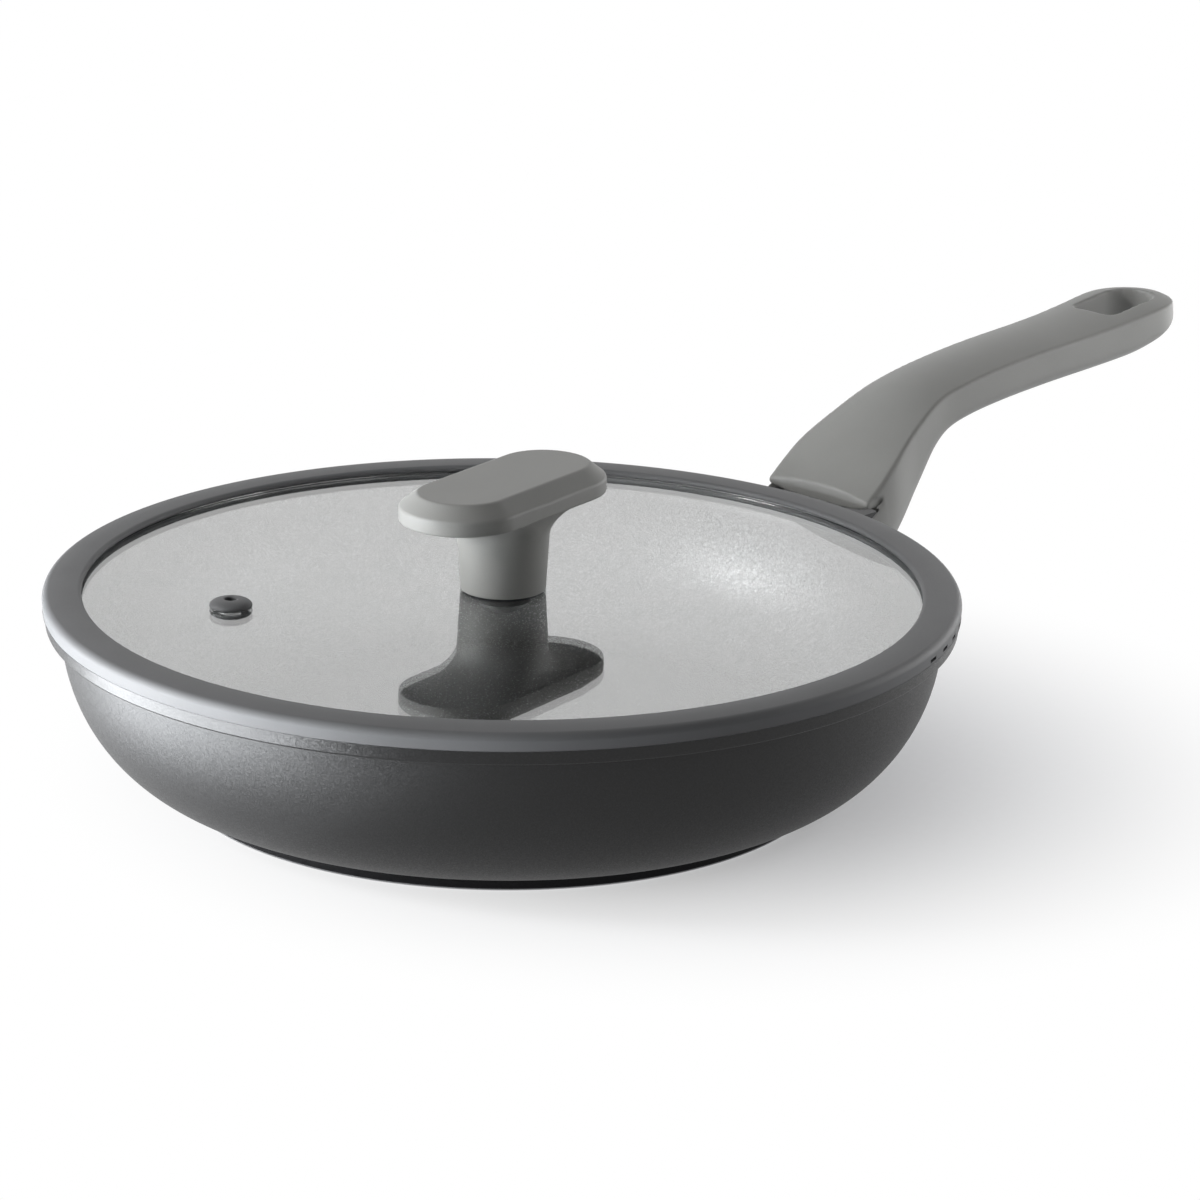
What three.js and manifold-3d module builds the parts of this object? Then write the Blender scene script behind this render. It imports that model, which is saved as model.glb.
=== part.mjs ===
// Frying pan, 28 cm, with a flat glass lid in a silicone rim.
// Millimetres, +Z up. The origin is the centre of the base, on the surface that the pan stands on.
// The handle points along +X.

import * as THREE from 'three';
import { mergeVertices } from 'three/addons/utils/BufferGeometryUtils.js';
import Module from 'manifold-3d';

const wasm = await Module();
wasm.setup();

// Pan body and base. The wall's outer radius under the lip drives the other radii.
const WALL_RADIUS = 142.5;
const WALL_CURVE_WIDTH = 43.3;
const WALL_THICKNESS = 3;
const INNER_CURVE_WIDTH = 43.5;
const RIM_HEIGHT = 60;
const LIP_OVERHANG = 4.8;
const LIP_DEPTH = 4.5;
const LIP_EDGE = 0.6;
const MOUTH_DEPTH = 6;
const MOUTH_FLARE = 1.8;
const FLOOR_THICKNESS = 4.2;
const BASE_OVERHANG = 6.8;
const BASE_THICKNESS = 3.4;
const BASE_EDGE_CHAMFER = 0.6;
const BASE_GROOVE_COUNT = 2;
const BASE_GROOVE_FROM_EDGE = 26;
const BASE_GROOVE_PITCH = 28;
const BASE_GROOVE_WIDTH = 3;
const BASE_GROOVE_DEPTH = 0.5;

// Lid
const GLASS_INSET = 3.3;
const GLASS_THICKNESS = 4;
const GLASS_ABOVE_RIM = 2.5;
const GLASS_EDGE = 0.8;
const RING_OVERHANG = 0.9;
const RING_HEIGHT = 6.3;
const RING_SHOULDER = 2.6;
const RING_TOP_SLOPE = 0.3;
const RING_GRIP = 2.5;
const RING_INNER_ROUND = 1.9;
const SKIRT_DEPTH = 3.5;
const SLOT_COUNT = 12;
const SLOT_PITCH = 4.7;
const SLOT_FIRST_AZIMUTH = -69.1;
const SLOT_LENGTH = 5;
const SLOT_HEIGHT = 1.2;
const SLOT_ABOVE_RIM = 1.4;
const SLOT_WELL = 1.4;
const VENT_FROM_GLASS_EDGE = 48.5;
const VENT_AZIMUTH = 150.8;
const VENT_BORE_RADIUS = 1.95;
const VENT_NECK_RADIUS = 4;
const VENT_BEAD_OVERHANG = 2.9;
const VENT_BEAD_HEIGHT = 3.6;
const VENT_BEAD_START = -80;
const VENT_FLANGE_OVERHANG = 2;
const VENT_FLANGE_THICKNESS = 1.4;

// Knob and its screw
const KNOB_LENGTH = 85.8;
const KNOB_WIDTH = 40.9;
const KNOB_HEIGHT = 38.3;
const KNOB_TURN = 10;
const KNOB_HEAD_THICKNESS = 9.3;
const KNOB_CHAMFER_WIDTH = 5.6;
const KNOB_CHAMFER_DROP = 4.4;
const KNOB_EDGE_ROUND = 1.2;
const STEM_INSET = 5.55;
const STEM_TAPER = 1;
const STEM_FILLET_WIDTH = 4;
const STEM_FILLET_HEIGHT = 8;
const GASKET_INSET = 0.7;
const GASKET_THICKNESS = 1;
const INSERT_WALL = 1.8;
const INSERT_LENGTH = 15;
const KNOB_SCREW_RADIUS = 2.5;
const KNOB_SCREW_SHORTER = 2.3;
const KNOB_SCREW_HEAD_OVERHANG = 2.3;
const KNOB_SCREW_HEAD_HEIGHT = 2.6;
const UNDER_WASHER_OVERHANG = 3.2;
const UNDER_WASHER_THICKNESS = 1.2;
const UNDER_GASKET_OVERHANG = 1;
const UNDER_GASKET_THICKNESS = 1.5;

// Handle, in distances beyond the lip and heights above the rim. The grip is its straight outer part.
const HANDLE_ROOT = -11;
const GRIP_START = 65;
const GRIP_LENGTH = 121;
const ROOT_HALF_WIDTH = 23.2;
const grip = (share) => GRIP_START + GRIP_LENGTH * share;
const HANDLE_TOP = [[HANDLE_ROOT, -1.8], [3, 6.8], [18, 18.4], [33, 27.5], [48, 34.4], [grip(0), 38],
  [grip(0.23), 41.2], [grip(0.56), 43.7], [grip(0.73), 45.6], [grip(0.86), 47.4], [grip(1), 48.2]];
const HANDLE_BOTTOM = [[HANDLE_ROOT, -30.3], [3, -22.3], [16, -14.8], [26, -7.7], [36, 2.8], [45, 13.3],
  [53.5, 19.5], [grip(0), 22.9], [grip(0.15), 25.3], [grip(0.35), 27.2], [grip(0.72), 30], [grip(0.84), 32.8],
  [grip(0.93), 37.2], [grip(1), 43.5]];
const HANDLE_HALF_WIDTH = [[HANDLE_ROOT, ROOT_HALF_WIDTH], [16, 22.8], [33, 19.2], [50, 16.3],
  [grip(0), 15.9], [grip(0.31), 16], [grip(0.6), 16.6], [grip(0.81), 17.7], [grip(1), 18]];
const HANDLE_FLARE = [[HANDLE_ROOT, 5.6], [8, 4.2], [28, 1.7], [53, 0.8], [grip(1), 0.6]];
const HANDLE_CROWN = 2;
const HANDLE_EDGE_SHARE = 0.08;
const HANDLE_BELLY_SHARE = 0.45;
const HANDLE_BELLY_POWER = 2.6;
const HANDLE_TIP_ROUND = 20;
const HANDLE_TIP_POWER = 2.4;
const HANDLE_FRONT_STAND_OFF = 4.3;
const HANDLE_FRONT_ROUND = 5;
const CHEEK_STAND_OFF = 1.8;
const CHEEK_ABOVE_RIM = 3.5;
const CHEEK_GROOVE = 0.8;
const TONGUE_WALL = 2;
const HOLE_LENGTH = 31;
const HOLE_WIDTH = 19;
const HOLE_CORNER = 4;
const HOLE_FROM_TIP = 6;

// Handle bracket and its screw
const BRACKET_INSET = 3.2;
const BRACKET_BELOW_RIM = 10;
const BRACKET_ABOVE_RIM = 2;
const BRACKET_REACH = 22.7;
const BRACKET_ROUND = 3;
const HANDLE_SCREW_REACH = 10.7;
const HANDLE_SCREW_RADIUS = 2.5;
const HANDLE_SCREW_GRIP = 8;
const HANDLE_SCREW_HEAD_OVERHANG = 1.9;
const HANDLE_SCREW_HEAD_HEIGHT = 2.8;
const HANDLE_SCREW_WALL = 3.5;
const HANDLE_WASHER_OVERHANG = 0.4;
const HANDLE_WASHER_THICKNESS = 1;
const SCREW_DOME_SHARE = 0.4;

// Clearances and fineness
const GAP = 0.3;
const SKIRT_GAP = 0.6;
const GLASS_HOLE_GAP = 0.7;
const ROUND_STEPS = 60;
const SMALL_STEPS = 24;
const WALL_STEPS = 12;
const INNER_STEPS = 10;
const HANDLE_STEPS = 28;
const TIP_STEPS = 8;
const TIP_END = 0.995;
const BELLY_STEPS = 6;
const CROWN_SHARES = [0.94, 0.7, 0.35];
const HOLE_STEPS = 6;
const ROLL_STEPS = 4;
const ROUND_OFF_STEPS = 3;
const BEAD_STEPS = 10;
const EDGE_STEPS = 2;
const EPS = 1;

// Radii and heights that several pieces share
const innerWallRadius = WALL_RADIUS - WALL_THICKNESS;
const mouthRadius = innerWallRadius + MOUTH_FLARE;
const footRadius = WALL_RADIUS - WALL_CURVE_WIDTH;
const lipRadius = WALL_RADIUS + LIP_OVERHANG;
const ringRadius = lipRadius + RING_OVERHANG;
const glassRadius = mouthRadius - GLASS_INSET;
const ringInnerRadius = glassRadius - RING_GRIP;
const floorTop = BASE_THICKNESS + FLOOR_THICKNESS;
const lipBottom = RIM_HEIGHT - LIP_DEPTH;
const glassTop = RIM_HEIGHT + GLASS_ABOVE_RIM;
const glassBottom = glassTop - GLASS_THICKNESS;
const stemFoot = glassTop + GASKET_THICKNESS;
const stemTopRadius = KNOB_WIDTH / 2 - STEM_INSET;
const stemFootRadius = stemTopRadius - STEM_TAPER;
const knobTop = glassTop + KNOB_HEIGHT;
const headBottom = knobTop - KNOB_HEAD_THICKNESS;
const handleTip = lipRadius + grip(1);
const frontRadius = ringRadius + HANDLE_FRONT_STAND_OFF;
const bracketWidth = 2 * (ROOT_HALF_WIDTH - BRACKET_INSET);
const bracketBottom = RIM_HEIGHT - BRACKET_BELOW_RIM;
const bracketTop = RIM_HEIGHT + BRACKET_ABOVE_RIM;
const bracketEnd = lipRadius + BRACKET_REACH;
const tongueWidth = bracketWidth + 2 * TONGUE_WALL;
const handleScrewX = lipRadius + HANDLE_SCREW_REACH;
const handleHeadRadius = HANDLE_SCREW_RADIUS + HANDLE_SCREW_HEAD_OVERHANG;
const handleWasherRadius = handleHeadRadius + HANDLE_WASHER_OVERHANG;
const knobHeadRadius = KNOB_SCREW_RADIUS + KNOB_SCREW_HEAD_OVERHANG;
const underWasherRadius = knobHeadRadius + UNDER_WASHER_OVERHANG;
const screwBore = KNOB_SCREW_RADIUS + GAP;
const insertRadius = screwBore + INSERT_WALL;
const aboveAll = 2 * (RIM_HEIGHT + KNOB_HEIGHT);

// Small helpers

function point(r, z) {
  return new THREE.Vector2(r, z);
}

function degrees(angle) {
  return THREE.MathUtils.degToRad(angle);
}

// A profile of (radius, height) points turned round the Z axis.
function revolve(profile, steps = ROUND_STEPS) {
  return new THREE.LatheGeometry(profile, steps).rotateX(Math.PI / 2);
}

// Points on an arc of an ellipse, from one angle to another, both ends included.
function arc(centreR, centreZ, radiusR, radiusZ, from, to, steps) {
  const points = [];
  for (let i = 0; i <= steps; i += 1) {
    const angle = degrees(from + ((to - from) * i) / steps);
    points.push(point(centreR + radiusR * Math.cos(angle), centreZ + radiusZ * Math.sin(angle)));
  }
  return points;
}

// A smooth curve through (x, value) pairs, read as a function of x.
function curveThrough(pairs) {
  const last = pairs.length - 1;
  const slope = (i) => {
    const before = pairs[Math.max(i - 1, 0)];
    const after = pairs[Math.min(i + 1, last)];
    return (after[1] - before[1]) / (after[0] - before[0]);
  };
  return (x) => {
    let i = 0;
    while (i < last - 1 && x > pairs[i + 1][0]) {
      i += 1;
    }
    const span = pairs[i + 1][0] - pairs[i][0];
    const t = THREE.MathUtils.clamp((x - pairs[i][0]) / span, 0, 1);
    const start = pairs[i][1] * (1 + 2 * t) * (1 - t) ** 2 + slope(i) * span * t * (1 - t) ** 2;
    const end = pairs[i + 1][1] * t ** 2 * (3 - 2 * t) - slope(i + 1) * span * t ** 2 * (1 - t);
    return start + end;
  };
}

// A skin over closed rings of points, with a flat cap on the first and the last ring.
function loft(rings) {
  const count = rings[0].length;
  const positions = rings.flat().flatMap((p) => [p.x, p.y, p.z]);
  const index = [];
  for (let j = 0; j < rings.length - 1; j += 1) {
    for (let i = 0; i < count; i += 1) {
      const a = j * count + i;
      const b = j * count + ((i + 1) % count);
      index.push(a, b, b + count, a, b + count, a + count);
    }
  }
  const lastRing = (rings.length - 1) * count;
  for (let i = 1; i < count - 1; i += 1) {
    index.push(0, i + 1, i);
    index.push(lastRing, lastRing + i, lastRing + i + 1);
  }
  const geometry = new THREE.BufferGeometry();
  geometry.setAttribute('position', new THREE.Float32BufferAttribute(positions, 3));
  geometry.setIndex(index);
  return geometry;
}

function solid(geometry) {
  const bare = geometry.clone();
  bare.deleteAttribute('normal');
  bare.deleteAttribute('uv');
  const merged = mergeVertices(bare, 1e-4);
  return new wasm.Manifold(new wasm.Mesh({
    numProp: 3,
    vertProperties: new Float32Array(merged.attributes.position.array),
    triVerts: new Uint32Array(merged.index.array),
  }));
}

function geometryOf(body) {
  const mesh = body.getMesh();
  const geometry = new THREE.BufferGeometry();
  geometry.setAttribute('position', new THREE.BufferAttribute(mesh.vertProperties, 3));
  geometry.setIndex(new THREE.BufferAttribute(mesh.triVerts, 1));
  geometry.computeVertexNormals();
  return geometry;
}

function rod(radius, bottom, top, x = 0, y = 0, steps = SMALL_STEPS) {
  const geometry = new THREE.CylinderGeometry(radius, radius, top - bottom, steps).rotateX(Math.PI / 2);
  return geometry.translate(x, y, (top + bottom) / 2);
}

function block(fromX, toX, width, bottom, top, y = 0) {
  const geometry = new THREE.BoxGeometry(toX - fromX, width, top - bottom);
  return geometry.translate((fromX + toX) / 2, y, (top + bottom) / 2);
}

function washer(radius, boreRadius, bottom, thickness) {
  const top = bottom + thickness;
  return revolve([point(boreRadius, bottom), point(radius, bottom), point(radius, top), point(boreRadius, top),
    point(boreRadius, bottom)], SMALL_STEPS);
}

// Pan

// The outside of the wall, a quarter ellipse that leaves the base level and ends upright under the lip.
function wallOutline(grow) {
  const height = lipBottom - BASE_THICKNESS;
  return arc(footRadius, lipBottom, WALL_CURVE_WIDTH + grow, height + grow, -90, 0, WALL_STEPS);
}

function makePanBody() {
  const floorRadius = innerWallRadius - INNER_CURVE_WIDTH;
  const innerTop = RIM_HEIGHT - MOUTH_DEPTH;
  return revolve([
    point(0, BASE_THICKNESS),
    ...wallOutline(0),
    point(lipRadius - LIP_EDGE, lipBottom),
    point(lipRadius, lipBottom + LIP_EDGE),
    point(lipRadius, RIM_HEIGHT - LIP_EDGE),
    point(lipRadius - LIP_EDGE, RIM_HEIGHT),
    point(mouthRadius, RIM_HEIGHT),
    ...arc(floorRadius, innerTop, INNER_CURVE_WIDTH, innerTop - floorTop, 0, -90, INNER_STEPS),
    point(0, floorTop),
  ]);
}

function makeInductionBase() {
  const baseRadius = footRadius + BASE_OVERHANG;
  const profile = [point(0, 0)];
  for (let i = BASE_GROOVE_COUNT - 1; i >= 0; i -= 1) {
    const radius = baseRadius - BASE_GROOVE_FROM_EDGE - i * BASE_GROOVE_PITCH;
    profile.push(point(radius, 0));
    profile.push(point(radius + BASE_GROOVE_DEPTH, BASE_GROOVE_DEPTH));
    profile.push(point(radius + BASE_GROOVE_WIDTH - BASE_GROOVE_DEPTH, BASE_GROOVE_DEPTH));
    profile.push(point(radius + BASE_GROOVE_WIDTH, 0));
  }
  profile.push(point(baseRadius - BASE_EDGE_CHAMFER, 0));
  profile.push(point(baseRadius, BASE_EDGE_CHAMFER));
  profile.push(point(baseRadius, BASE_THICKNESS));
  profile.push(point(0, BASE_THICKNESS));
  return revolve(profile);
}

// Everything that the pan and the rising lid fill, with a clearance round the lid's ring.
function panEnvelope() {
  const clearRadius = ringRadius + CHEEK_STAND_OFF;
  return solid(revolve([
    point(0, BASE_THICKNESS - GAP),
    ...wallOutline(GAP),
    point(clearRadius, lipBottom - GAP),
    point(clearRadius, aboveAll),
    point(0, aboveAll),
  ]));
}

// Handle

// Pairs counted from the lip and from a base height, as pairs in the part's frame.
function fromLip(pairs, baseHeight = 0) {
  return pairs.map(([x, value]) => [lipRadius + x, baseHeight + value]);
}

const handleTop = curveThrough(fromLip(HANDLE_TOP, RIM_HEIGHT));
const handleBottom = curveThrough(fromLip(HANDLE_BOTTOM, RIM_HEIGHT));
const handleHalfWidth = curveThrough(fromLip(HANDLE_HALF_WIDTH));
const handleFlare = curveThrough(fromLip(HANDLE_FLARE));

// One cross-section: a crowned top, sides that lean out a little and a rounded underside.
function handleSection(x) {
  const intoTip = Math.max(0, (x - (handleTip - HANDLE_TIP_ROUND)) / HANDLE_TIP_ROUND);
  const shrink = (1 - Math.min(intoTip, TIP_END) ** HANDLE_TIP_POWER) ** (1 / HANDLE_TIP_POWER);
  const half = handleHalfWidth(x) * shrink;
  const wide = (handleHalfWidth(x) + handleFlare(x)) * shrink;
  const top = handleTop(x);
  const bottom = handleBottom(x);
  const belly = bottom + (top - bottom) * HANDLE_BELLY_SHARE;
  const side = [];
  for (let i = 0; i <= BELLY_STEPS; i += 1) {
    const angle = degrees((90 * i) / BELLY_STEPS);
    const across = Math.sin(angle) ** (2 / HANDLE_BELLY_POWER);
    const down = Math.cos(angle) ** (2 / HANDLE_BELLY_POWER);
    side.push([wide * across, belly - (belly - bottom) * down]);
  }
  side.push([half + (wide - half) * HANDLE_EDGE_SHARE, top - (top - belly) * HANDLE_EDGE_SHARE]);
  for (const share of CROWN_SHARES) {
    side.push([half * share, top + HANDLE_CROWN * shrink * (1 - share ** 2)]);
  }
  const left = side.map(([y, z]) => new THREE.Vector3(x, y, z));
  const crown = new THREE.Vector3(x, 0, top + HANDLE_CROWN * shrink);
  const right = side.slice(1).reverse().map(([y, z]) => new THREE.Vector3(x, -y, z));
  return [...left, crown, ...right];
}

function handleStations() {
  const stations = [];
  const root = lipRadius + HANDLE_ROOT;
  const tipStart = handleTip - HANDLE_TIP_ROUND;
  for (let i = 0; i < HANDLE_STEPS; i += 1) {
    stations.push(root + ((tipStart - root) * i) / HANDLE_STEPS);
  }
  for (let i = 0; i <= TIP_STEPS; i += 1) {
    stations.push(tipStart + HANDLE_TIP_ROUND * Math.sin(degrees((90 * i) / TIP_STEPS)));
  }
  return stations;
}

// The hanging hole, straight through: a flat end towards the pan and a round end towards the tip.
function hangingHole() {
  const half = HOLE_WIDTH / 2;
  const end = HOLE_LENGTH / 2;
  const outline = new THREE.Shape();
  outline.absarc(end - half, 0, half, -Math.PI / 2, Math.PI / 2);
  outline.absarc(HOLE_CORNER - end, half - HOLE_CORNER, HOLE_CORNER, Math.PI / 2, Math.PI);
  outline.absarc(HOLE_CORNER - end, HOLE_CORNER - half, HOLE_CORNER, Math.PI, (3 * Math.PI) / 2);
  const options = { depth: aboveAll, bevelEnabled: false, curveSegments: HOLE_STEPS };
  return new THREE.ExtrudeGeometry(outline, options).translate(handleTip - HOLE_FROM_TIP - end, 0, 0);
}

const screwSeat = bracketBottom - GAP - HANDLE_SCREW_WALL;

// What is cut away in front of the tongue, between and above the cheeks, so that its front edge rolls down.
function tongueFront() {
  const rollEnd = frontRadius + HANDLE_FRONT_ROUND;
  const rollTop = handleTop(rollEnd) + HANDLE_CROWN;
  const turned = solid(revolve([
    point(0, 0),
    point(frontRadius, 0),
    ...arc(rollEnd, rollTop - HANDLE_FRONT_ROUND, HANDLE_FRONT_ROUND, HANDLE_FRONT_ROUND, 180, 90, ROLL_STEPS),
    point(rollEnd, aboveAll),
    point(0, aboveAll),
  ]));
  const betweenCheeks = solid(block(0, rollEnd + EPS, tongueWidth, 0, aboveAll));
  const aboveCheeks = solid(block(0, rollEnd + EPS, 2 * tongueWidth, RIM_HEIGHT + CHEEK_ABOVE_RIM, aboveAll));
  return turned.intersect(betweenCheeks.add(aboveCheeks));
}

function makeHandle() {
  const socketWidth = bracketWidth + 2 * GAP;
  const socketTop = bracketTop + GAP;
  let body = solid(loft(handleStations().map(handleSection)));
  body = body.subtract(panEnvelope());
  body = body.subtract(tongueFront());
  body = body.subtract(solid(block(0, bracketEnd + GAP, socketWidth, bracketBottom - GAP, socketTop)));
  for (const side of [-1, 1]) {
    const across = (side * (tongueWidth - CHEEK_GROOVE)) / 2;
    const groove = block(0, frontRadius + HANDLE_FRONT_ROUND, CHEEK_GROOVE, 0, handleTop(frontRadius), across);
    body = body.subtract(solid(groove));
  }
  body = body.subtract(solid(hangingHole()));
  body = body.subtract(solid(rod(HANDLE_SCREW_RADIUS + GAP, 0, bracketTop, handleScrewX)));
  body = body.subtract(solid(rod(handleWasherRadius + GAP, 0, screwSeat, handleScrewX)));
  return geometryOf(body);
}

function makeBracket() {
  const outline = new THREE.Shape();
  const roundX = bracketEnd - BRACKET_ROUND;
  outline.moveTo(footRadius, bracketBottom);
  outline.lineTo(roundX, bracketBottom);
  outline.absarc(roundX, bracketBottom + BRACKET_ROUND, BRACKET_ROUND, -Math.PI / 2, 0);
  outline.absarc(roundX, bracketTop - BRACKET_ROUND, BRACKET_ROUND, 0, Math.PI / 2);
  outline.lineTo(footRadius, bracketTop);
  const options = { depth: bracketWidth, bevelEnabled: false, curveSegments: ROUND_OFF_STEPS };
  const bar = new THREE.ExtrudeGeometry(outline, options).rotateX(Math.PI / 2);
  let body = solid(bar.translate(0, bracketWidth / 2, 0)).subtract(panEnvelope());
  const holeTop = bracketBottom + HANDLE_SCREW_GRIP + EPS;
  body = body.subtract(solid(rod(HANDLE_SCREW_RADIUS + GAP, bracketBottom - EPS, holeTop, handleScrewX)));
  return geometryOf(body);
}

// A pan-head screw standing head down, with its head's seat at the given height.
function screw(radius, headRadius, headHeight, seat, top) {
  const dome = headHeight * SCREW_DOME_SHARE;
  return revolve([
    point(0, seat - headHeight),
    point(headRadius - dome, seat - headHeight),
    point(headRadius, seat - headHeight + dome),
    point(headRadius, seat),
    point(radius, seat),
    point(radius, top - radius / 2),
    point(radius / 2, top),
    point(0, top),
  ], SMALL_STEPS);
}

function makeHandleScrew() {
  const seat = screwSeat - HANDLE_WASHER_THICKNESS;
  const top = bracketBottom + HANDLE_SCREW_GRIP;
  return screw(HANDLE_SCREW_RADIUS, handleHeadRadius, HANDLE_SCREW_HEAD_HEIGHT, seat, top);
}

function makeHandleWasher() {
  const bore = HANDLE_SCREW_RADIUS + GAP;
  return washer(handleWasherRadius, bore, screwSeat - HANDLE_WASHER_THICKNESS, HANDLE_WASHER_THICKNESS);
}

// Lid

// Radius of the pan's flared mouth at a height.
function mouthAt(z) {
  return mouthRadius - (MOUTH_FLARE * (RIM_HEIGHT - z)) / MOUTH_DEPTH;
}

function makeGlass() {
  const holeRadius = KNOB_SCREW_RADIUS + GLASS_HOLE_GAP;
  const disc = revolve([
    point(holeRadius, glassBottom),
    point(glassRadius - GLASS_EDGE, glassBottom),
    point(glassRadius, glassBottom + GLASS_EDGE),
    point(glassRadius, glassTop - GLASS_EDGE),
    point(glassRadius - GLASS_EDGE, glassTop),
    point(holeRadius, glassTop),
    point(holeRadius, glassBottom),
  ]);
  const ventHole = rod(VENT_NECK_RADIUS + GAP, glassBottom - EPS, glassTop + EPS, ventX, ventY);
  return geometryOf(solid(disc).subtract(solid(ventHole)));
}

// One strainer slot: in through the flank of the ring, then down past the skirt into the pan.
function strainerSlot(azimuth) {
  const middle = RIM_HEIGHT + SLOT_ABOVE_RIM;
  const inside = glassRadius + SLOT_WELL + GAP;
  const well = inside + SLOT_WELL;
  const outline = new THREE.Shape();
  outline.moveTo(inside, RIM_HEIGHT - SKIRT_DEPTH - EPS);
  outline.lineTo(well, RIM_HEIGHT - SKIRT_DEPTH - EPS);
  outline.lineTo(well, middle - SLOT_HEIGHT / 2);
  outline.lineTo(ringRadius + EPS, middle - SLOT_HEIGHT / 2);
  outline.lineTo(ringRadius + EPS, middle + SLOT_HEIGHT / 2);
  outline.lineTo(inside, middle + SLOT_HEIGHT / 2);
  const bar = new THREE.ExtrudeGeometry(outline, { depth: SLOT_LENGTH, bevelEnabled: false });
  bar.rotateX(Math.PI / 2).translate(0, SLOT_LENGTH / 2, 0);
  return bar.rotateZ(degrees(azimuth));
}

function makeRing() {
  const top = RIM_HEIGHT + RING_HEIGHT;
  const flange = RIM_HEIGHT + GAP;
  const skirtBottom = RIM_HEIGHT - SKIRT_DEPTH;
  const grooveRadius = glassRadius + GAP;
  const profile = [
    point(ringInnerRadius, skirtBottom),
    point(mouthAt(skirtBottom) - SKIRT_GAP, skirtBottom),
    point(mouthAt(flange) - SKIRT_GAP, flange),
    point(ringRadius, flange),
    ...arc(ringRadius - RING_SHOULDER, top - RING_TOP_SLOPE - RING_SHOULDER, RING_SHOULDER, RING_SHOULDER,
      0, 90, ROLL_STEPS),
    ...arc(ringInnerRadius + RING_INNER_ROUND, top - RING_INNER_ROUND, RING_INNER_ROUND, RING_INNER_ROUND,
      90, 180, ROUND_OFF_STEPS),
    point(ringInnerRadius, glassTop + GAP),
    point(grooveRadius, glassTop + GAP),
    point(grooveRadius, glassBottom - GAP),
    point(ringInnerRadius, glassBottom - GAP),
    point(ringInnerRadius, skirtBottom),
  ];
  let body = solid(revolve(profile));
  for (let i = 0; i < SLOT_COUNT; i += 1) {
    body = body.subtract(solid(strainerSlot(SLOT_FIRST_AZIMUTH + SLOT_PITCH * i)));
  }
  return geometryOf(body);
}

const ventDistance = glassRadius - VENT_FROM_GLASS_EDGE;
const ventX = ventDistance * Math.cos(degrees(VENT_AZIMUTH));
const ventY = ventDistance * Math.sin(degrees(VENT_AZIMUTH));

function makeVentGrommet() {
  const bottom = glassBottom - GAP - VENT_FLANGE_THICKNESS;
  const beadBase = glassTop + GAP;
  const beadHalf = (VENT_BEAD_HEIGHT - GAP) / 2;
  const beadRadius = VENT_NECK_RADIUS + VENT_BEAD_OVERHANG;
  const beadWidth = (beadRadius - VENT_BORE_RADIUS) / 2;
  const flangeRadius = VENT_NECK_RADIUS + VENT_FLANGE_OVERHANG;
  return revolve([
    point(VENT_BORE_RADIUS, bottom),
    point(flangeRadius, bottom),
    point(flangeRadius, glassBottom - GAP),
    point(VENT_NECK_RADIUS, glassBottom - GAP),
    point(VENT_NECK_RADIUS, beadBase),
    ...arc(beadRadius - beadWidth, beadBase + beadHalf, beadWidth, beadHalf, VENT_BEAD_START, 180, BEAD_STEPS),
    point(VENT_BORE_RADIUS, bottom),
  ], SMALL_STEPS);
}

// Knob

// A stadium outline of the knob's head, drawn in by an inset.
function headRing(inset, z) {
  const radius = KNOB_WIDTH / 2 - inset;
  const run = (KNOB_LENGTH - KNOB_WIDTH) / 2;
  const ring = [];
  const halfSteps = SMALL_STEPS / 2;
  for (const end of [0, 1]) {
    for (let i = 0; i <= halfSteps; i += 1) {
      const angle = degrees(-90 + 180 * end + (180 * i) / halfSteps);
      const centre = end === 0 ? run : -run;
      ring.push(new THREE.Vector3(centre + radius * Math.cos(angle), radius * Math.sin(angle), z));
    }
  }
  return ring;
}

function makeKnob() {
  const edge = arc(KNOB_EDGE_ROUND, headBottom + KNOB_EDGE_ROUND, KNOB_EDGE_ROUND, KNOB_EDGE_ROUND,
    270, 180, EDGE_STEPS);
  const head = loft([
    ...edge.map((p) => headRing(p.x, p.y)),
    headRing(0, knobTop - KNOB_CHAMFER_DROP),
    headRing(KNOB_CHAMFER_WIDTH, knobTop),
  ]);
  const fillet = arc(stemTopRadius + STEM_FILLET_WIDTH, headBottom - STEM_FILLET_HEIGHT, STEM_FILLET_WIDTH,
    STEM_FILLET_HEIGHT, 180, 90, ROLL_STEPS);
  const stem = revolve([
    point(0, stemFoot),
    point(stemFootRadius, stemFoot),
    ...fillet,
    point(stemTopRadius, headBottom + EPS),
    point(0, headBottom + EPS),
  ], 2 * SMALL_STEPS);
  const socket = rod(insertRadius + GAP, stemFoot - EPS, stemFoot + INSERT_LENGTH + 2 * GAP);
  return geometryOf(solid(head.rotateZ(degrees(KNOB_TURN))).add(solid(stem)).subtract(solid(socket)));
}

function makeKnobInsert() {
  return washer(insertRadius, screwBore, stemFoot + GAP, INSERT_LENGTH);
}

const underGasketBottom = glassBottom - UNDER_GASKET_THICKNESS;
const underWasherBottom = underGasketBottom - UNDER_WASHER_THICKNESS;

function makeKnobScrew() {
  const top = stemFoot + GAP + INSERT_LENGTH - KNOB_SCREW_SHORTER;
  return screw(KNOB_SCREW_RADIUS, knobHeadRadius, KNOB_SCREW_HEAD_HEIGHT, underWasherBottom, top);
}

// Materials and assembly

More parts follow.
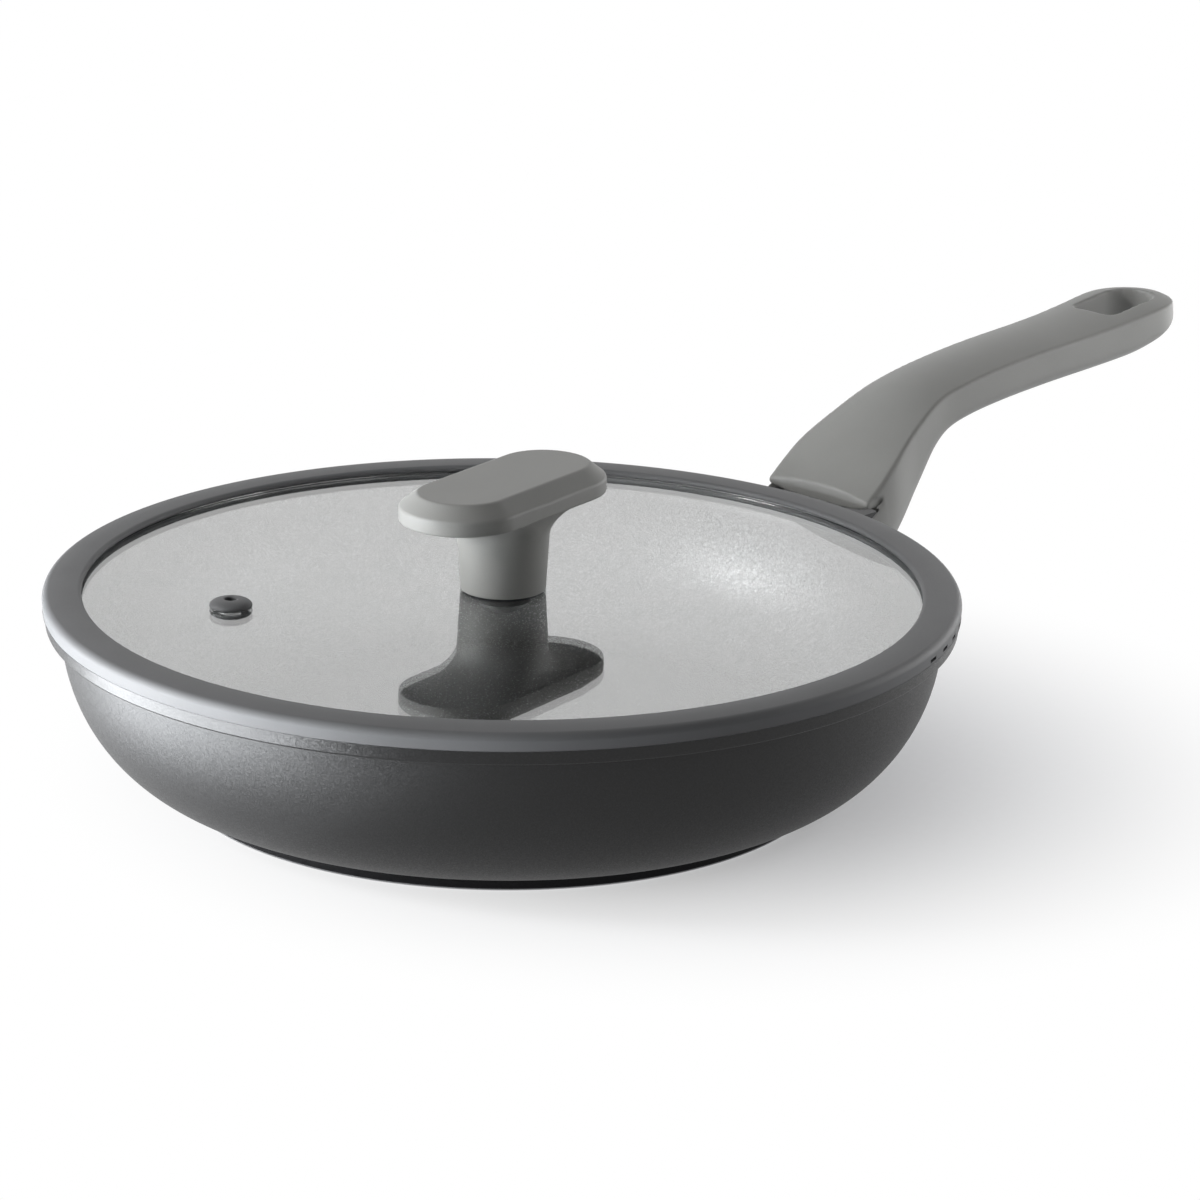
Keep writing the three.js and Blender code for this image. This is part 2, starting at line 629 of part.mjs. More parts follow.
const finishes = {
  panCoat: { color: 0x2e2e30, roughness: 0.45, metalness: 0.5 },
  baseSteel: { color: 0x1c1c1e, roughness: 0.5, metalness: 0.7 },
  bracketCoat: { color: 0x232325, roughness: 0.6, metalness: 0.4 },
  softGrey: { color: 0x7d7d7a, roughness: 0.7, metalness: 0 },
  silicone: { color: 0x6c6c6e, roughness: 0.6, metalness: 0 },
  darkSilicone: { color: 0x4a4a4c, roughness: 0.6, metalness: 0 },
  glass: { color: 0xb8bcbc, roughness: 0.05, metalness: 0 },
  steel: { color: 0xb9bbbd, roughness: 0.35, metalness: 1 },
  brass: { color: 0xb8934a, roughness: 0.35, metalness: 1 },
};

function piece(name, geometry, finish) {
  const mesh = new THREE.Mesh(geometry, new THREE.MeshStandardMaterial(finish));
  mesh.name = name;
  return mesh;
}

const screwGroup = new THREE.Group();
screwGroup.position.x = handleScrewX;
screwGroup.add(
  piece('handle_screw', makeHandleScrew(), finishes.steel),
  piece('handle_washer', makeHandleWasher(), finishes.steel),
);

const pan = new THREE.Group();
pan.add(
  piece('pan_body', makePanBody(), finishes.panCoat),
  piece('induction_base', makeInductionBase(), finishes.baseSteel),
  piece('handle_bracket', makeBracket(), finishes.bracketCoat),
  piece('handle', makeHandle(), finishes.softGrey),
  screwGroup,
);

const vent = piece('vent_grommet', makeVentGrommet(), finishes.darkSilicone);
vent.position.set(ventX, ventY, 0);

const underGasketRadius = underWasherRadius + UNDER_GASKET_OVERHANG;
const knobGasket = washer(stemFootRadius - GASKET_INSET, screwBore, glassTop, GASKET_THICKNESS);
const underGasket = washer(underGasketRadius, screwBore, underGasketBottom, UNDER_GASKET_THICKNESS);
const underWasher = washer(underWasherRadius, screwBore, underWasherBottom, UNDER_WASHER_THICKNESS);

const lid = new THREE.Group();
lid.add(
  piece('lid_glass', makeGlass(), finishes.glass),
  piece('lid_rim', makeRing(), finishes.silicone),
  vent,
  piece('knob', makeKnob(), finishes.softGrey),
  piece('knob_insert', makeKnobInsert(), finishes.brass),
  piece('knob_gasket', knobGasket, finishes.darkSilicone),
  piece('under_gasket', underGasket, finishes.darkSilicone),
  piece('under_washer', underWasher, finishes.steel),
  piece('knob_screw', makeKnobScrew(), finishes.steel),
);

const fryingPan = new THREE.Group();
fryingPan.add(pan, lid);

export default fryingPan;
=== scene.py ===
"""Frying pan with a glass lid: finished surfaces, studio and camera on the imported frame."""
import math

import bmesh
import bpy
from mathutils import Matrix, Vector


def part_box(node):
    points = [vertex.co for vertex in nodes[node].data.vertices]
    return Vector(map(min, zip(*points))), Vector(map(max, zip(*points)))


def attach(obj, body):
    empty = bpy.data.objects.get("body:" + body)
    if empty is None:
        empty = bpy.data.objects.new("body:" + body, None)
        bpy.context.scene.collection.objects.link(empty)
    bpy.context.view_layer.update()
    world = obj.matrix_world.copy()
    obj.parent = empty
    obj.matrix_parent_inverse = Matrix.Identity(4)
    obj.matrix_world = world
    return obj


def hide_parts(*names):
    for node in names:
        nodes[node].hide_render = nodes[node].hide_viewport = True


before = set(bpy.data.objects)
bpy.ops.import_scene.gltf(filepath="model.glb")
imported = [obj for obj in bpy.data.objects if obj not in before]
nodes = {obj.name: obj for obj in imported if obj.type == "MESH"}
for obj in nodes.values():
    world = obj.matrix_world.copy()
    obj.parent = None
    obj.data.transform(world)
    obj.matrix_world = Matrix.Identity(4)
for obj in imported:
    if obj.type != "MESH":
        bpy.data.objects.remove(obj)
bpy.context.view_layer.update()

# A millimetre in metres, and the steps round large and small turned pieces
MM = 0.001
ROUND = 192
SMALL = 64

# Clearances, a small rounding and a height above everything, in millimetres.
# A cutter reaches past what it cuts by the overlap.
GAP = 0.3
TOUCH = 0.02
OVERLAP = 1
ABOVE_ALL = 200
FINE_ROUND = 0.3

# Pan sizes. The outer ones come from the frame.
LIP_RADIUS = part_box("pan_body")[1].x / MM
RIM_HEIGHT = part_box("pan_body")[1].z / MM
BASE_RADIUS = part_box("induction_base")[1].x / MM
BASE_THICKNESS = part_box("induction_base")[1].z / MM
LIP_OVERHANG = 4.8
WALL_RADIUS = LIP_RADIUS - LIP_OVERHANG
WALL_CURVE_WIDTH = 43.3
WALL_THICKNESS = 3
INNER_CURVE_WIDTH = 43.5
LIP_DEPTH = 4.5
LIP_ROUND = 0.8
LIP_TOP_ROUND = 0.4
MOUTH_DEPTH = 6
MOUTH_FLARE = 1.8
FLOOR_THICKNESS = 4.2
LIP_BOTTOM = RIM_HEIGHT - LIP_DEPTH
FOOT_RADIUS = WALL_RADIUS - WALL_CURVE_WIDTH
INNER_WALL = WALL_RADIUS - WALL_THICKNESS
MOUTH_RADIUS = INNER_WALL + MOUTH_FLARE
BASE_GROOVE_FROM_EDGE = 26
BASE_GROOVE_PITCH = 28
BASE_GROOVE_WIDTH = 3
BASE_GROOVE_DEPTH = 0.5
BASE_FOOT_ROUND = 0.9
BASE_TOP_ROUND = 0.4

# Lid sizes
GLASS_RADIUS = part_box("lid_glass")[1].x / MM
GLASS_LIFT = 1
GLASS_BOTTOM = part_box("lid_glass")[0].z / MM + GLASS_LIFT
GLASS_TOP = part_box("lid_glass")[1].z / MM + GLASS_LIFT
GLASS_EDGE = 0.8
GLASS_BORE_RADIUS = 3.2
RING_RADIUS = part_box("lid_rim")[1].x / MM
RING_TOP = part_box("lid_rim")[1].z / MM
RING_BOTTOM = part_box("lid_rim")[0].z / MM
RING_SHOULDER = 2.6
RING_TOP_SLOPE = 0.6
RING_INNER_DROP = 0.3
RING_SEAT = 0.05
RING_GRIP = 2.5
RING_INNER_ROUND = 1.4
RING_INNER_TURN = 195
RING_CROWN = 6
RING_UNDERCUT = 1
RING_UNDERCUT_ROUND = 0.2
RING_EDGE_ROUND = 0.25
SKIRT_GAP = 0.6
SKIRT_ROUND = 0.6
SLOT_COUNT = 12
SLOT_PITCH = 4.7
SLOT_FIRST_AZIMUTH = -69.1
SLOT_LENGTH = 5
SLOT_HEIGHT = 1.2
SLOT_ABOVE_RIM = 1.4
SLOT_WELL = 1.4
VENT_CENTRE = (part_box("vent_grommet")[0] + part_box("vent_grommet")[1]) / 2 / MM
VENT_BEAD_RADIUS = (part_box("vent_grommet")[1].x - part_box("vent_grommet")[0].x) / 2 / MM
VENT_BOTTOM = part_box("vent_grommet")[0].z / MM
VENT_BORE_RADIUS = 1.95
VENT_NECK_RADIUS = 4
VENT_FLANGE_RADIUS = 6
VENT_RISE = 3
VENT_FOOT_ROUND = 0.9
VENT_FLANGE_ROUND = 0.5
VENT_BORE_ROUND = 0.5

# Knob and screw sizes
KNOB_LENGTH = 85
KNOB_WIDTH = 40.9
KNOB_TURN = 10
KNOB_RAISE = 0.3
KNOB_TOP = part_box("knob")[1].z / MM + KNOB_RAISE
GASKET_SEEN = 0.4
STEM_FOOT = GLASS_TOP + GASKET_SEEN
KNOB_HEAD_THICKNESS = 9.3
KNOB_CHAMFER_WIDTH = 5.6
KNOB_CHAMFER_DROP = 4.4
KNOB_EDGE_ROUND = 0.8
STEM_FOOT_RADIUS = 13.9
STEM_FOOT_RIM = 2
STEM_FOOT_ROUND = 0.4
STEM_TOP_RADIUS = 14.9
FLARE_HEIGHT = 10
FLARE_INSET = 0.1
FLARE_STEPS = 18
KNOB_CAP_INSET = 12
INSERT_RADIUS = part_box("knob_insert")[1].x / MM
INSERT_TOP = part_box("knob_insert")[1].z / MM
SCREW_RADIUS = 2.5
SCREW_BORE = SCREW_RADIUS + GAP
SCREW_HEAD_ROUND = 1.6
SCREW_SEAT_ROUND = 0.2
SCREW_TIP_ROUND = 1.2
HANDLE_SCREW_HEAD = 2.8
KNOB_SCREW_HEAD = 2.6
RECESS_HALF_WIDTH = 0.55
RECESS_LENGTH_SHARE = 0.55
RECESS_DEPTH_SHARE = 0.6
WASHER_EDGE = 0.1

# Handle, in distances beyond the lip and heights above the rim
HANDLE_ROOT = -11
GRIP_START = 65
GRIP_LENGTH = 121


def grip(share):
    """The distance beyond the lip at a share of the grip's length."""
    return GRIP_START + GRIP_LENGTH * share


HANDLE_TOP = [(HANDLE_ROOT, -1.8), (3, 6.8), (18, 18.4), (33, 27.5), (48, 34.4), (grip(0), 38),
              (grip(0.23), 41.2), (grip(0.56), 43.7), (grip(0.73), 45.6), (grip(0.86), 47.4), (grip(1), 48.2)]
HANDLE_BOTTOM = [(HANDLE_ROOT, -30.3), (3, -22.3), (16, -14.8), (26, -7.7), (36, 2.8), (45, 13.3),
                 (53.5, 19.5), (grip(0), 22.9), (grip(0.15), 25.3), (grip(0.35), 27.2), (grip(0.72), 30),
                 (grip(0.84), 32.8), (grip(0.93), 37.2), (grip(1), 43.5)]
HANDLE_HALF_WIDTH = [(HANDLE_ROOT, 23.2), (16, 22.8), (33, 19.2), (50, 16.3), (grip(0), 15.9),
                     (grip(0.31), 16), (grip(0.6), 16.6), (grip(0.81), 17.7), (grip(1), 18)]
HANDLE_FLARE = [(HANDLE_ROOT, 5.6), (8, 4.2), (28, 1.7), (53, 0.8), (grip(1), 0.6)]
HANDLE_CROWN = [(HANDLE_ROOT, 0.3), (12, 0.6), (35, 1.7), (60, 2), (grip(1), 2)]
HANDLE_CROWN_SHARE = 0.97
HANDLE_EDGE_SHARE = 0.08
HANDLE_BELLY_SHARE = 0.45
HANDLE_BELLY_POWER = 2.6
HANDLE_TIP = LIP_RADIUS + grip(1)
HANDLE_TIP_ROUND = 20
HANDLE_TIP_POWER = 2.4
HANDLE_TIP_END = 0.995
CHEEK_STAND_OFF = 1.8
CHEEK_ABOVE_RIM = 3.5
CHEEK_GROOVE = 1.1
CHEEK_GROOVE_DEPTH = 5
TONGUE_WIDTH = 48.5
TONGUE_STAND_OFF = 4.3
TONGUE_FRONT = RING_RADIUS + TONGUE_STAND_OFF
TONGUE_ROUND = 2.2
TONGUE_OVERHANG = 6
TONGUE_BELOW_RING = 4
TONGUE_CORNER_LIFT = 2.8
TONGUE_CORNER_POWER = 2.5
HOLE_LENGTH = 31
HOLE_WIDTH = 19
HOLE_CORNER = 4
HOLE_FROM_TIP = 6
HANDLE_VOXEL = 0.55
HANDLE_SOFTENING = 7
HANDLE_SOFTENING_SHARE = 0.5
BRACKET_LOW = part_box("handle_bracket")[0] / MM
BRACKET_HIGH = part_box("handle_bracket")[1] / MM
WASHER_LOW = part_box("handle_washer")[0] / MM
WASHER_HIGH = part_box("handle_washer")[1] / MM
BRACKET_EDGE = 0.5

# Grain of the pan's coats, and the heights between which turning marks and the base's steel come and go
FLAKE_SIZE = 0.34
TURNED_FROM = 46
TURNED_TO = 55.5
LIP_BLEND = 0.1
STEEL_FROM = 0.4
STEEL_TO = 0.9
FACING_UP = 0.5

# The photograph's camera, found from the circles of the rim, glass and base
CAMERA_AZIMUTH = 44
CAMERA_ELEVATION = 19.891
CAMERA_DISTANCE = 1.4765
CAMERA_YAW = 1.2365
CAMERA_PITCH = 2.2123
CAMERA_ROLL = 0.9145
CAMERA_LENS = 135
CAMERA_SENSOR = 36
CAMERA_REACH = 20

# Studio, in directions seen from the camera: right, away and up.
# The table is in millimetres, its shadow and the lamps are in metres.
FLOOR_LEVEL = -0.3
TABLE_LEFT = -100
TABLE_REACH = 4000
# Painted light on the floor: its white glow is weakest, at SHADOW_GLOW, round a point just right of the pan,
# and full beyond the outer distance, so the rendered shadow shows only near the pan and most on its right.
SHADOW_CENTRE = (0.06, 0.02, 0)
SHADOW_INNER = 0.05
SHADOW_OUTER = 0.22
SHADOW_GLOW = 0.25
AMBIENT = 0.08


# Mesh helpers

def arc(centre_r, centre_z, radius_r, radius_z, start, end, steps):
    """Points of a circle's or ellipse's arc between two angles in degrees."""
    angles = [math.radians(start + (end - start) * i / steps) for i in range(steps + 1)]
    return [(centre_r + radius_r * math.cos(a), centre_z + radius_z * math.sin(a)) for a in angles]


def rounded(corners, steps=5):
    """Profile points from (r, z) corners. A corner with a third number is rounded off over that length."""
    points = []
    for i, corner in enumerate(corners):
        here = Vector(corner[:2])
        if len(corner) == 2:
            points.append(tuple(here))
            continue
        before = Vector(corners[i - 1][:2])
        after = Vector(corners[(i + 1) % len(corners)][:2])
        start = here + (before - here).normalized() * min(corner[2], (before - here).length / 2)
        end = here + (after - here).normalized() * min(corner[2], (after - here).length / 2)
        for k in range(steps + 1):
            t = k / steps
            points.append(tuple(start * (1 - t) ** 2 + here * 2 * t * (1 - t) + end * t ** 2))
    return points


def make_object(name, vertices, faces):
    """A mesh object from millimetre points, with its faces turned outwards."""
    mesh = bpy.data.meshes.new(name)
    mesh.from_pydata([Vector(v) * MM for v in vertices], [], faces)
    shape = bmesh.new()
    shape.from_mesh(mesh)
    bmesh.ops.remove_doubles(shape, verts=shape.verts, dist=1e-7)
    bmesh.ops.recalc_face_normals(shape, faces=shape.faces)
    shape.to_mesh(mesh)
    shape.free()
    obj = bpy.data.objects.new(name, mesh)
    bpy.context.scene.collection.objects.link(obj)
    return obj


def skin(name, rings, closed=False, caps=False):
    """A mesh over rings of equal length. Closed joins the last ring to the first, caps closes both ends."""
    count = len(rings[0])
    vertices = [v for ring in rings for v in ring]
    faces = []
    for j in range(len(rings) - (0 if closed else 1)):
        a, b = j * count, (j + 1) % len(rings) * count
        for i in range(count):
            k = (i + 1) % count
            faces.append((a + i, a + k, b + k, b + i))
    if caps:
        faces.append(tuple(range(count)))
        faces.append(tuple(range(len(vertices) - count, len(vertices))))
    return make_object(name, vertices, faces)


def lathe(name, profile, steps=ROUND, centre=(0, 0), closed=False):
    """A profile of (r, z) points turned round an upright axis."""
    rings = []
    for r, z in profile:
        angles = [2 * math.pi * i / steps for i in range(steps)]
        rings.append([(centre[0] + r * math.cos(a), centre[1] + r * math.sin(a), z) for a in angles])
    return skin(name, rings, closed)


def prism(name, outline, low, high):
    """An (x, y) outline raised from one height to another."""
    return skin(name, [[(x, y, z) for x, y in outline] for z in (low, high)], caps=True)


def peg(name, radius, low, high, centre=(0, 0)):
    """A round cutter from one height to another."""
    return lathe(name, [(0, low), (radius, low), (radius, high), (0, high)], SMALL, centre)


def block(name, low, high):
    outline = [(low[0], low[1]), (high[0], low[1]), (high[0], high[1]), (low[0], high[1])]
    return prism(name, outline, low[2], high[2])


def bake(obj):
    """Turns an object's modifiers into its own mesh."""
    bpy.context.view_layer.update()
    graph = bpy.context.evaluated_depsgraph_get()
    mesh = bpy.data.meshes.new_from_object(obj.evaluated_get(graph))
    old = obj.data
    obj.modifiers.clear()
    obj.data = mesh
    mesh.name = old.name
    bpy.data.meshes.remove(old)
    return obj


def combine(obj, others, operation):
    """Cuts, joins or intersects obj with the others, which are used up."""
    for other in others:
        step = obj.modifiers.new(operation.lower(), "BOOLEAN")
        step.operation = operation
        step.solver = "EXACT"
        step.object = other
    bake(obj)
    for other in others:
        mesh = other.data
        bpy.data.objects.remove(other)
        bpy.data.meshes.remove(mesh)
    return obj


def smooth(obj, sharp_angle=35):
    """Smooth shading that keeps large flat faces flat and edges sharper than the angle crisp."""
    for face in obj.data.polygons:
        face.use_smooth = True
    obj.data.set_sharp_from_angle(angle=math.radians(sharp_angle))
    weighted = obj.modifiers.new("weighted normals", "WEIGHTED_NORMAL")
    weighted.keep_sharp = True
    weighted.weight = 100
    return obj


def curve_through(pairs, origin_x=0, origin_value=0):
    """A smooth curve through (x, value) pairs, as a function of x."""
    pairs = [(x + origin_x, value + origin_value) for x, value in pairs]
    last = len(pairs) - 1

    def slope(i):
        before, after = pairs[max(i - 1, 0)], pairs[min(i + 1, last)]
        return (after[1] - before[1]) / (after[0] - before[0])

    def value(x):
        i = 0
        while i < last - 1 and x > pairs[i + 1][0]:
            i += 1
        span = pairs[i + 1][0] - pairs[i][0]
        t = min(max((x - pairs[i][0]) / span, 0), 1)
        start = pairs[i][1] * (1 + 2 * t) * (1 - t) ** 2 + slope(i) * span * t * (1 - t) ** 2
        end = pairs[i + 1][1] * t ** 2 * (3 - 2 * t) - slope(i + 1) * span * t ** 2 * (1 - t)
        return start + end

    return value


# Pan pieces

def wall_outline(grow=0, steps=40):
    """The outer wall's curve from the base up to the lip."""
    height = LIP_BOTTOM - BASE_THICKNESS
    return arc(FOOT_RADIUS, LIP_BOTTOM, WALL_CURVE_WIDTH + grow, height + grow, -90, 0, steps)


def make_pan_body():
    floor_top = BASE_THICKNESS + FLOOR_THICKNESS
    inner_top = RIM_HEIGHT - MOUTH_DEPTH
    inside = arc(INNER_WALL - INNER_CURVE_WIDTH, inner_top, INNER_CURVE_WIDTH, inner_top - floor_top,
                 0, -90, 40)
    profile = [(0, BASE_THICKNESS)] + wall_outline() + rounded([
        (WALL_RADIUS, LIP_BOTTOM),
        (LIP_RADIUS, LIP_BOTTOM, LIP_ROUND),
        (LIP_RADIUS, RIM_HEIGHT, LIP_TOP_ROUND),
        (MOUTH_RADIUS, RIM_HEIGHT, LIP_ROUND),
        inside[0],
    ]) + inside + [(0, floor_top)]
    return smooth(lathe("pan_shell", profile))


def make_base():
    corners = [(0, 0)]
    for i in (1, 0):
        radius = BASE_RADIUS - BASE_GROOVE_FROM_EDGE - i * BASE_GROOVE_PITCH
        corners.append((radius, 0))
        corners.append((radius + BASE_GROOVE_DEPTH, BASE_GROOVE_DEPTH, FINE_ROUND))
        corners.append((radius + BASE_GROOVE_WIDTH - BASE_GROOVE_DEPTH, BASE_GROOVE_DEPTH, FINE_ROUND))
        corners.append((radius + BASE_GROOVE_WIDTH, 0))
    corners += [(BASE_RADIUS, 0, BASE_FOOT_ROUND), (BASE_RADIUS, BASE_THICKNESS, BASE_TOP_ROUND),
                (0, BASE_THICKNESS)]
    return smooth(lathe("base_disc", rounded(corners)))


def make_washer(name, node, bottom=None, top=None):
    """A flat ring in the node's place, or between other heights."""
    low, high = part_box(node)[0] / MM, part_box(node)[1] / MM
    low.z = bottom or low.z
    high.z = top or high.z
    radius = (high.x - low.x) / 2
    centre = ((low.x + high.x) / 2, (low.y + high.y) / 2)
    corners = [(SCREW_BORE, low.z), (radius, low.z), (radius, high.z), (SCREW_BORE, high.z)]
    profile = rounded([(r, z, WASHER_EDGE) for r, z in corners])
    return smooth(lathe(name, profile, SMALL, centre, closed=True))


def make_screw(name, node, head_height):
    """A pan-head screw standing head down, with a cross recess in its head."""
    low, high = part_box(node)[0] / MM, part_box(node)[1] / MM
    head = (high.x - low.x) / 2
    centre = ((low.x + high.x) / 2, (low.y + high.y) / 2)
    seat = low.z + head_height
    profile = rounded([
        (0, low.z),
        (head, low.z, SCREW_HEAD_ROUND),
        (head, seat, SCREW_SEAT_ROUND),
        (SCREW_RADIUS, seat),
        (SCREW_RADIUS, high.z, SCREW_TIP_ROUND),
        (0, high.z),
    ])
    screw = lathe(name, profile, SMALL, centre)
    length, width = head * RECESS_LENGTH_SHARE, RECESS_HALF_WIDTH
    floor = low.z + head_height * RECESS_DEPTH_SHARE
    recess = []
    for along, across in ((length, width), (width, length)):
        recess.append(block("recess", (centre[0] - along, centre[1] - across, low.z - OVERLAP),
                            (centre[0] + along, centre[1] + across, floor)))
    return smooth(combine(screw, recess, "DIFFERENCE"), sharp_angle=25)


# Handle

handle_top = curve_through(HANDLE_TOP, LIP_RADIUS, RIM_HEIGHT)
handle_bottom = curve_through(HANDLE_BOTTOM, LIP_RADIUS, RIM_HEIGHT)
handle_half_width = curve_through(HANDLE_HALF_WIDTH, LIP_RADIUS)
handle_flare = curve_through(HANDLE_FLARE, LIP_RADIUS)
handle_crown = curve_through(HANDLE_CROWN, LIP_RADIUS)


def handle_section(x, belly_steps=20, crown_steps=9):
    into_tip = max(0, (x - (HANDLE_TIP - HANDLE_TIP_ROUND)) / HANDLE_TIP_ROUND)
    shrink = (1 - min(into_tip, HANDLE_TIP_END) ** HANDLE_TIP_POWER) ** (1 / HANDLE_TIP_POWER)
    half = handle_half_width(x) * shrink
    wide = (handle_half_width(x) + handle_flare(x)) * shrink
    crown = handle_crown(x) * shrink
    top, bottom = handle_top(x), handle_bottom(x)
    belly = bottom + (top - bottom) * HANDLE_BELLY_SHARE
    side = []
    for i in range(belly_steps + 1):
        angle = math.pi / 2 * i / belly_steps
        across = math.sin(angle) ** (2 / HANDLE_BELLY_POWER)
        down = max(math.cos(angle), 0) ** (2 / HANDLE_BELLY_POWER)
        side.append((wide * across, belly - (belly - bottom) * down))
    side.append((half + (wide - half) * HANDLE_EDGE_SHARE, top - (top - belly) * HANDLE_EDGE_SHARE))
    for i in range(crown_steps):
        share = HANDLE_CROWN_SHARE * (1 - i / crown_steps)
        side.append((half * share, top + crown * (1 - share ** 2)))
    ring = [(x, y, z) for y, z in side]
    ring.append((x, 0, top + crown))
    ring += [(x, -y, z) for y, z in reversed(side[1:])]
    return ring


def handle_stations(grip_steps=110, tip_steps=24):
    root, tip_start = LIP_RADIUS + HANDLE_ROOT, HANDLE_TIP - HANDLE_TIP_ROUND
    stations = [root + (tip_start - root) * i / grip_steps for i in range(grip_steps)]
    return stations + [tip_start + HANDLE_TIP_ROUND * math.sin(math.pi / 2 * i / tip_steps)
                       for i in range(tip_steps + 1)]


def pan_envelope():
    clear = RING_RADIUS + CHEEK_STAND_OFF
    return lathe("envelope", [(0, BASE_THICKNESS - GAP)] + wall_outline(GAP) + [
        (clear, LIP_BOTTOM - GAP), (clear, ABOVE_ALL), (0, ABOVE_ALL)])


def tongue_front(width, low):
    """What is cut away in front of the tongue, so that its front edge rolls down."""
    roll_end = TONGUE_FRONT + TONGUE_ROUND
    roll_top = handle_top(roll_end) + handle_crown(roll_end)
    roll = arc(roll_end, roll_top - TONGUE_ROUND, TONGUE_ROUND, TONGUE_ROUND, 180, 90, 12)
    turned = lathe("front", [(0, 0), (TONGUE_FRONT, 0)] + roll + [(roll_end, ABOVE_ALL), (0, ABOVE_ALL)])
    window = block("window", (0, -width / 2, low), (roll_end + OVERLAP, width / 2, ABOVE_ALL))
    return combine(turned, [window], "INTERSECT")


def tongue_underside(steps=24):
    """What is cut away under the tongue's front edge, with the corners cut higher."""
    half = (TONGUE_WIDTH - CHEEK_GROOVE) / 2
    across = [half * (2 * i / steps - 1) for i in range(steps + 1)]
    middle = RING_TOP - TONGUE_BELOW_RING
    edge = [(y, middle + TONGUE_CORNER_LIFT * abs(y / half) ** TONGUE_CORNER_POWER) for y in across]
    outline = [(half, LIP_BOTTOM), (-half, LIP_BOTTOM)] + edge
    end = TONGUE_FRONT + TONGUE_OVERHANG
    return skin("underside", [[(x, y, z) for y, z in outline] for x in (LIP_RADIUS, end)], caps=True)


def hole_outline():
    half, end, corner = HOLE_WIDTH / 2, HOLE_LENGTH / 2, HOLE_CORNER
    centre = HANDLE_TIP - HOLE_FROM_TIP - end
    outline = arc(end - half, 0, half, half, -90, 90, 24)
    outline += arc(corner - end, half - corner, corner, corner, 90, 180, 10)
    outline += arc(corner - end, corner - half, corner, corner, 180, 270, 10)
    return [(centre + x, y) for x, y in outline]


def make_handle():
    handle = skin("handle_grip", [handle_section(x) for x in handle_stations()], caps=True)
    screw_x = (WASHER_LOW.x + WASHER_HIGH.x) / 2
    washer_radius = (WASHER_HIGH.x - WASHER_LOW.x) / 2
    socket_low = (0, BRACKET_LOW.y - GAP, BRACKET_LOW.z - GAP)
    cutters = [
        pan_envelope(),
        tongue_front(TONGUE_WIDTH, 0),
        tongue_front(2 * TONGUE_WIDTH, RIM_HEIGHT + CHEEK_ABOVE_RIM),
        tongue_underside(),
        block("socket", socket_low, BRACKET_HIGH + Vector((GAP, GAP, GAP))),
        prism("hole", hole_outline(), 0, ABOVE_ALL),
        peg("bore", SCREW_BORE, 0, BRACKET_HIGH.z, (screw_x, 0)),
        peg("well", washer_radius + GAP, 0, WASHER_HIGH.z, (screw_x, 0)),
    ]
    outer = TONGUE_WIDTH / 2
    groove_end = TONGUE_FRONT + CHEEK_GROOVE_DEPTH
    for side in (-1, 1):
        low_y, high_y = sorted((side * (outer - CHEEK_GROOVE), side * outer))
        cutters.append(block("groove", (0, low_y, 0), (groove_end, high_y, handle_top(TONGUE_FRONT))))
    combine(handle, cutters, "DIFFERENCE")
    remesh = handle.modifiers.new("moulded skin", "REMESH")
    remesh.mode = "VOXEL"
    remesh.voxel_size = HANDLE_VOXEL * MM
    soften = handle.modifiers.new("soft edges", "SMOOTH")
    soften.factor = HANDLE_SOFTENING_SHARE
    soften.iterations = HANDLE_SOFTENING
    bake(handle)
    for face in handle.data.polygons:
        face.use_smooth = True
    return handle


# Lid pieces

def make_glass():
    profile = rounded([
        (GLASS_BORE_RADIUS, GLASS_BOTTOM, FINE_ROUND),
        (GLASS_RADIUS, GLASS_BOTTOM, GLASS_EDGE),
        (GLASS_RADIUS, GLASS_TOP, GLASS_EDGE),
        (GLASS_BORE_RADIUS, GLASS_TOP, FINE_ROUND),
    ])
    disc = lathe("glass_disc", profile, closed=True)
    hole = peg("vent", VENT_NECK_RADIUS + GAP, GLASS_BOTTOM - OVERLAP, GLASS_TOP + OVERLAP, VENT_CENTRE)
    return smooth(combine(disc, [hole], "DIFFERENCE"), sharp_angle=30)


def strainer_slot(azimuth):
    """In through the flank of the ring, then down past the skirt into the pan."""
    middle = RIM_HEIGHT + SLOT_ABOVE_RIM
    inside = GLASS_RADIUS + SLOT_WELL + GAP
    well = inside + SLOT_WELL
    low, high = middle - SLOT_HEIGHT / 2, middle + SLOT_HEIGHT / 2
    outside, under = RING_RADIUS + OVERLAP, RING_BOTTOM - OVERLAP
    outline = [(inside, under), (well, under), (well, low), (outside, low), (outside, high), (inside, high)]
    turn = Matrix.Rotation(math.radians(azimuth), 3, "Z")
    rings = [[turn @ Vector((r, y, z)) for r, z in outline] for y in (-SLOT_LENGTH / 2, SLOT_LENGTH / 2)]
    return skin("slot", rings, caps=True)


